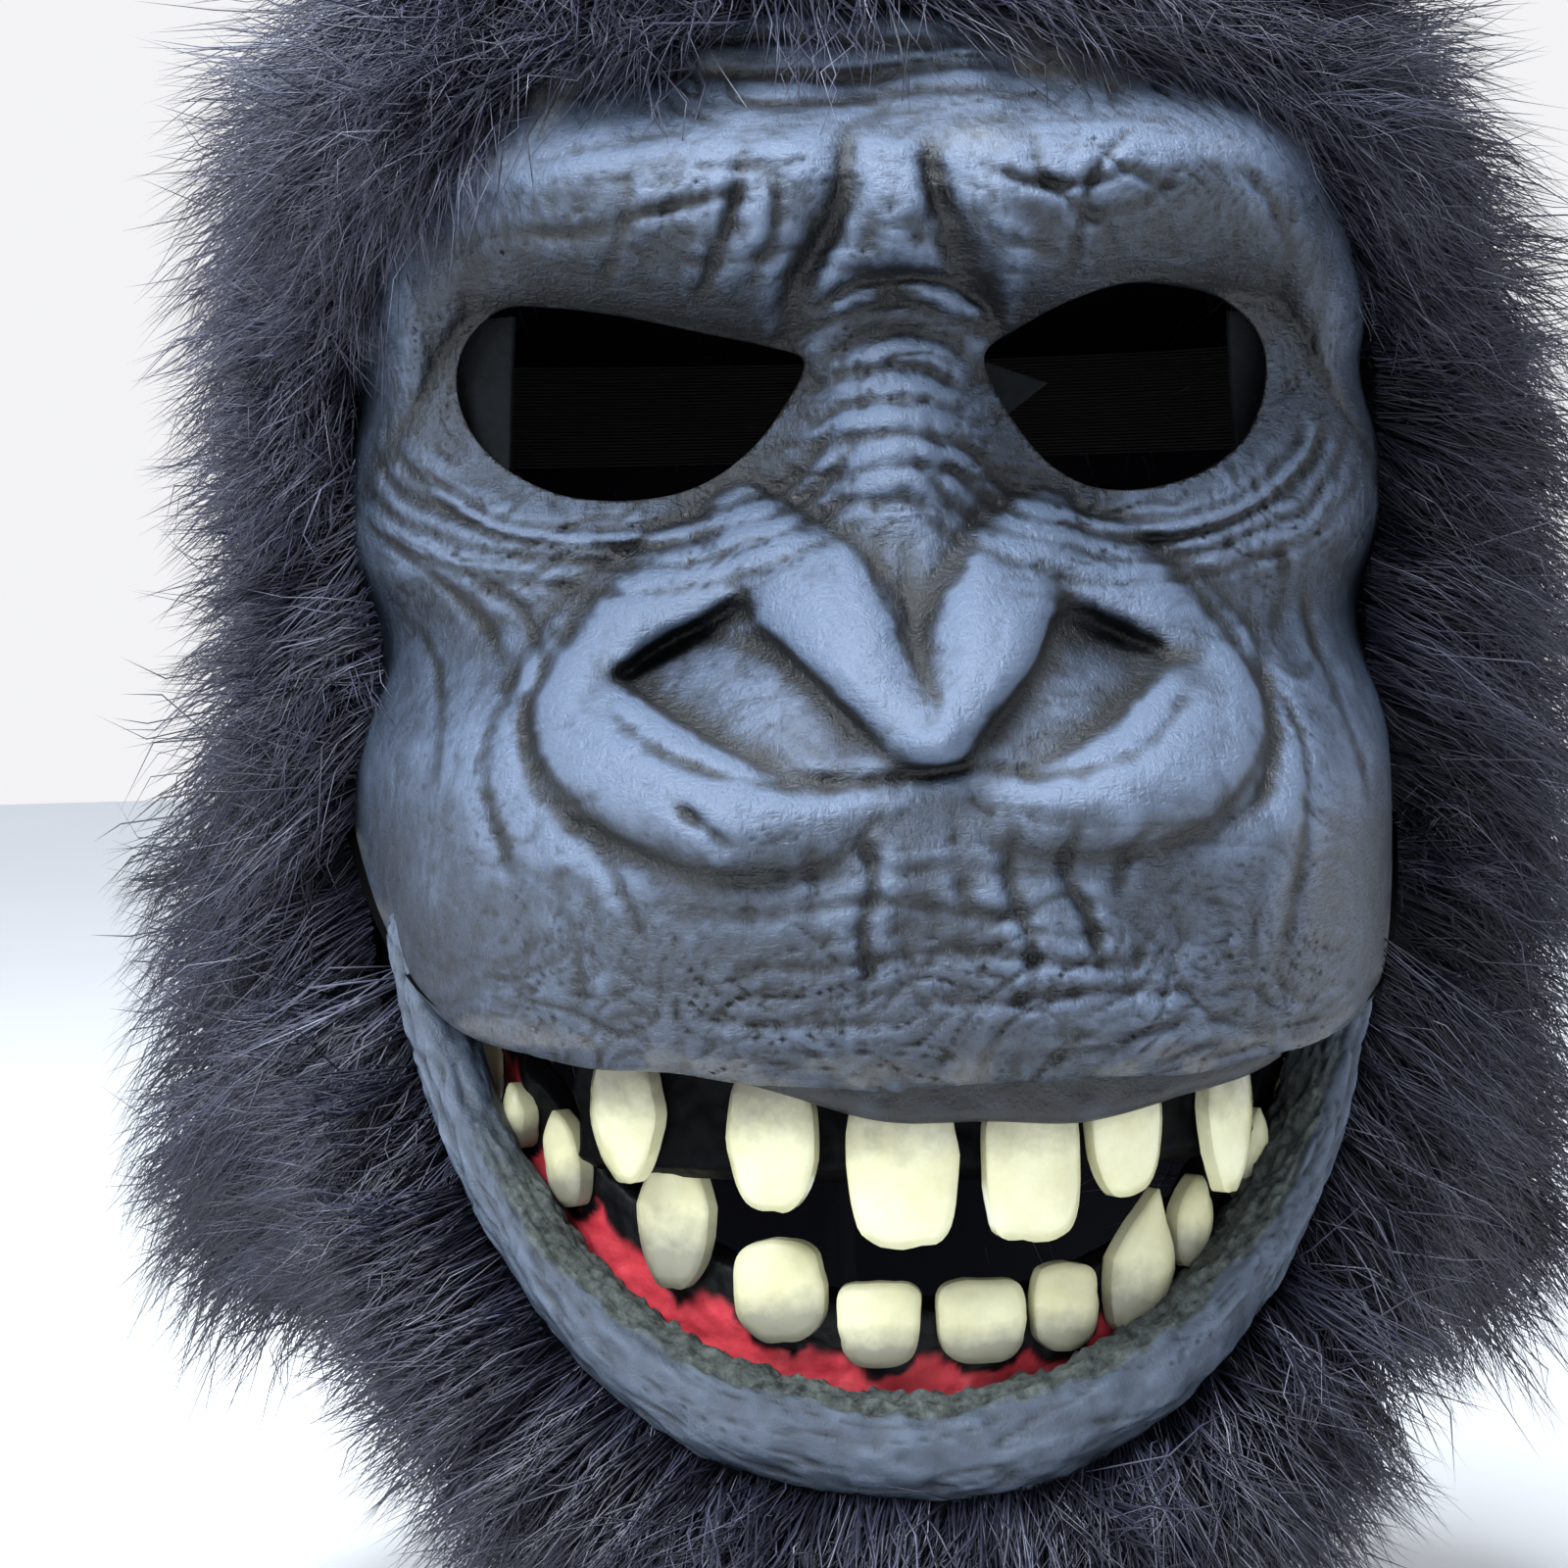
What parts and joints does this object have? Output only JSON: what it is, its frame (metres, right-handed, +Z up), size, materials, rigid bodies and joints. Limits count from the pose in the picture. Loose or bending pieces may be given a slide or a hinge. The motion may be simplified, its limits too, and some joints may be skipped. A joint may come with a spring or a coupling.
{
  "type": "gorilla costume mask",
  "caption": "Over-the-head gorilla mask: cast-latex face with eye holes, an open toothed mouth on a hinged jaw, and a black faux-fur hood and beard",
  "frame": {"origin": "where the wearer's neck passes the plane of the nape hem, below the ears", "axes": "+Z up through the crown, the face looks along -Y, +X is on the right as seen from in front"},
  "size_m": [0.264, 0.287, 0.378],
  "materials": {
    "latex": "black cast latex, dry-brushed slate blue-grey on the high spots",
    "black_gum": "glossy black paint",
    "red_gum": "red-painted latex with black in the gaps",
    "glossy_tooth": "cream paint under gloss varnish, grey at the gum",
    "matt_tooth": "cream paint, matt, grey at the gum",
    "foam": "charcoal foam",
    "patch_cloth": "dark felt",
    "elastic": "black woven elastic and tape",
    "fur": "black long-pile faux fur on knitted backing"
  },
  "bodies": {
    "head": {"face_shell": "latex", "upper_gum": "black_gum", "upper_far_tooth_left": "glossy_tooth", "upper_side_tooth_left": "glossy_tooth", "upper_incisor_left": "glossy_tooth", "upper_incisor_right": "glossy_tooth", "upper_side_tooth_right": "glossy_tooth", "upper_far_tooth_right": "glossy_tooth", "brow_pad": "foam", "nose_patch": "patch_cloth", "temple_patch_left": "patch_cloth", "temple_patch_right": "patch_cloth", "head_strap": "elastic", "fur_crown": "fur", "fur_side_left": "fur", "fur_side_right": "fur", "fur_back_left": "fur", "fur_back_right": "fur", "neck_tape": "elastic"},
    "jaw": {"jaw_shell": "latex", "lower_gum": "red_gum", "chin_cup": "foam", "fur_beard": "fur", "lower_corner_tooth_left": "matt_tooth", "lower_far_tooth_left": "matt_tooth", "lower_molar_left": "matt_tooth", "lower_canine_left": "matt_tooth", "lower_side_tooth_left": "matt_tooth", "lower_incisor_left": "matt_tooth", "lower_incisor_right": "matt_tooth", "lower_side_tooth_right": "matt_tooth", "lower_canine_right": "matt_tooth", "lower_molar_right": "matt_tooth", "lower_far_tooth_right": "matt_tooth", "lower_corner_tooth_right": "matt_tooth"}
  },
  "joints": [
    {"name": "jaw_open", "type": "hinge", "parent": "head", "child": "jaw", "pos_m": [0, 0.005, 0.175], "axis": [1, 0, 0], "range_deg": [0, 9], "stiffness_Nm_per_rad": 1.5, "springref_deg": -8.59}
  ]
}
